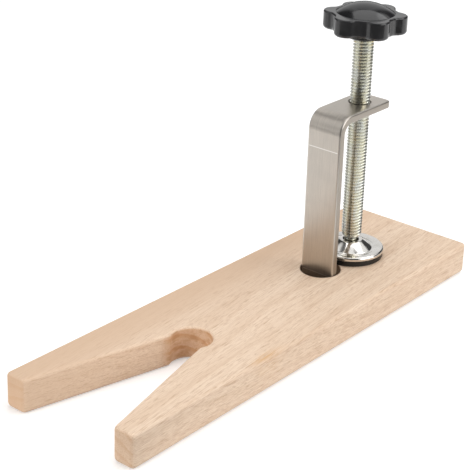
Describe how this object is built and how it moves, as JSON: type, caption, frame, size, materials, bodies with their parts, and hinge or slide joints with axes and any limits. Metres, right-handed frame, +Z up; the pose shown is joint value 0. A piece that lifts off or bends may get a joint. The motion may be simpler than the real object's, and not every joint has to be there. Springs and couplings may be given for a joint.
{
  "type": "wooden jewelers vise",
  "caption": "Wooden board with a V slot and keyhole for sawing and filing over, held to a bench edge by a bent steel strip, a star-knob screw and a swivel foot.",
  "frame": {"origin": "under the middle of the board, on the face that it lies on", "axes": "+Y along the board from the open slot to the clamp, +Z up through the board along the screw, +X across the board"},
  "size_m": [0.07, 0.235, 0.1388],
  "materials": {
    "beech": "planed, fine-sanded and unvarnished, with rounded edges",
    "strip_steel": "satin, with rounded deburred edges",
    "plated_steel": "rolled thread, zinc plated",
    "foot_plastic": "moulded, black",
    "cup_chrome": "pressed sheet, bright plated",
    "knob_plastic": "moulded, black, semi-gloss",
    "insert_brass": "turned"
  },
  "bodies": {
    "frame": {"board": "beech", "clamp_strip": "strip_steel"},
    "foot": {"foot_base": "foot_plastic", "foot_cup": "cup_chrome"},
    "screw": {"spindle": "plated_steel", "star_knob": "knob_plastic", "knob_insert": "insert_brass", "knob_cap": "knob_plastic"}
  },
  "joints": [
    {"name": "screw_travel", "type": "slide", "parent": "frame", "child": "foot", "axis": [0, 0, 1], "range_m": [0, 0.064]},
    {"name": "screw_turn", "type": "hinge", "parent": "foot", "child": "screw", "pos_m": [0, 0.0687, 0.0155], "axis": [0, 0, 1], "range_deg": [0, 15400]}
  ],
  "couplings": [
    {"joint": "screw_turn", "follows": "screw_travel", "rad_per_m": 4188.8}
  ]
}
